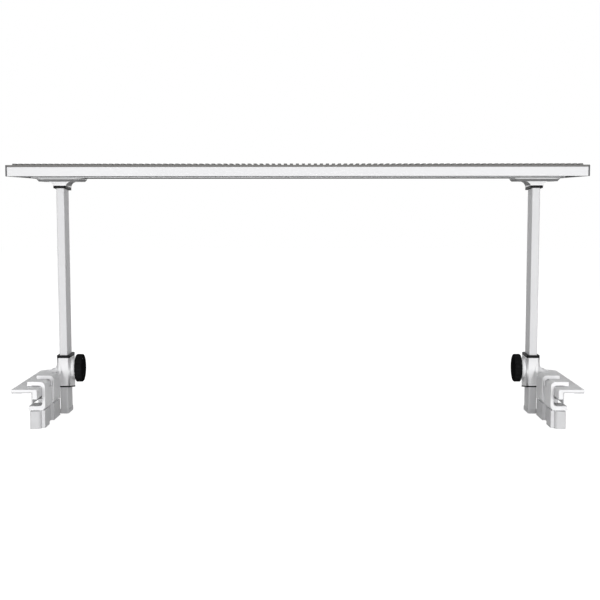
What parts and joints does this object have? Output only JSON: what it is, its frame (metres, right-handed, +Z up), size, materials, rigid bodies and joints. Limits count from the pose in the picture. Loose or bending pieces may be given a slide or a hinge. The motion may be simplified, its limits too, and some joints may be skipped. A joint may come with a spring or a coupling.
{
  "type": "led aquarium light",
  "caption": "Slim light bar with a finned heat sink, on two telescoping legs locked by knobs in clamps that hang on a tank rim.",
  "frame": {"origin": "under the middle of the light, level with the feet of the legs", "axes": "+X along the light to its right end, -Y the front, +Z up"},
  "size_m": [0.58, 0.134, 0.271],
  "materials": {
    "silver_aluminium": "satin anodised",
    "heat_sink": "satin anodised",
    "dark_cap": "matt",
    "clamp_grey": "satin paint",
    "apron_grey": "satin",
    "black_plastic": "satin",
    "grey_rubber": "matt",
    "clear_lens": "gloss",
    "board_white": "white solder mask",
    "led_white": "gloss",
    "led_red": "gloss",
    "led_green": "gloss",
    "led_blue": "gloss",
    "circuit_board": "satin",
    "steel": "plated",
    "brass": "turned"
  },
  "bodies": {
    "stand": {"left_apron": "apron_grey", "left_apron_screws": "steel", "left_clamp_body": "clamp_grey", "left_lower_collar": "black_plastic", "left_thread_insert": "brass", "left_upper_collar": "black_plastic", "right_apron": "apron_grey", "right_apron_screws": "steel", "right_clamp_body": "clamp_grey", "right_lower_collar": "black_plastic", "right_thread_insert": "brass", "right_upper_collar": "black_plastic"},
    "luminaire": {"blue_leds": "led_blue", "board_screws": "steel", "bracket_nuts": "steel", "dc_jack": "black_plastic", "driver_board": "circuit_board", "driver_components": "black_plastic", "driver_screws": "steel", "end_cap_screws": "steel", "front_rail": "silver_aluminium", "green_leds": "led_green", "heat_sink": "heat_sink", "led_board": "board_white", "led_ribbon": "circuit_board", "left_bracket": "clamp_grey", "left_bracket_collar": "black_plastic", "left_bracket_screws": "steel", "left_end_cap": "dark_cap", "left_foot_cap": "clamp_grey", "left_leg": "silver_aluminium", "left_leg_plug": "black_plastic", "left_leg_screw": "steel", "lens_cover": "clear_lens", "lens_gasket": "grey_rubber", "rear_channel": "silver_aluminium", "red_leds": "led_red", "right_bracket": "clamp_grey", "right_bracket_collar": "black_plastic", "right_bracket_screws": "steel", "right_end_cap": "dark_cap", "right_foot_cap": "clamp_grey", "right_leg": "silver_aluminium", "right_leg_plug": "black_plastic", "right_leg_screw": "steel", "thermal_pad": "grey_rubber", "white_leds": "led_white"},
    "left_rim": {"left_rim_rest": "silver_aluminium", "left_rim_pad": "grey_rubber"},
    "left_shoe": {"left_pressure_shoe": "black_plastic"},
    "left_knob": {"left_knob": "black_plastic", "left_knob_cap": "black_plastic", "left_clamp_screw": "steel"},
    "right_rim": {"right_rim_rest": "silver_aluminium", "right_rim_pad": "grey_rubber"},
    "right_shoe": {"right_pressure_shoe": "black_plastic"},
    "right_knob": {"right_knob": "black_plastic", "right_knob_cap": "black_plastic", "right_clamp_screw": "steel"}
  },
  "joints": [
    {"name": "height_slide", "type": "slide", "parent": "stand", "child": "luminaire", "axis": [0, 0, 1], "range_m": [-0.179, 0.02]},
    {"name": "left_rim_slide", "type": "slide", "parent": "stand", "child": "left_rim", "axis": [-1, 0, 0], "range_m": [0, 0.009]},
    {"name": "left_shoe_press", "type": "slide", "parent": "stand", "child": "left_shoe", "axis": [1, 0, 0], "range_m": [0, 0.001]},
    {"name": "left_knob_turn", "type": "hinge", "parent": "left_shoe", "child": "left_knob", "pos_m": [-0.245, 0.0455, 0.0492], "axis": [1, 0, 0], "range_deg": [0, 360]},
    {"name": "right_rim_slide", "type": "slide", "parent": "stand", "child": "right_rim", "axis": [1, 0, 0], "range_m": [0, 0.009]},
    {"name": "right_shoe_press", "type": "slide", "parent": "stand", "child": "right_shoe", "axis": [-1, 0, 0], "range_m": [0, 0.001]},
    {"name": "right_knob_turn", "type": "hinge", "parent": "right_shoe", "child": "right_knob", "pos_m": [0.245, 0.0455, 0.0492], "axis": [-1, 0, 0], "range_deg": [0, 360]}
  ],
  "couplings": [
    {"joint": "left_knob_turn", "follows": "left_shoe_press", "rad_per_m": 6283.2},
    {"joint": "right_knob_turn", "follows": "right_shoe_press", "rad_per_m": 6283.2}
  ]
}
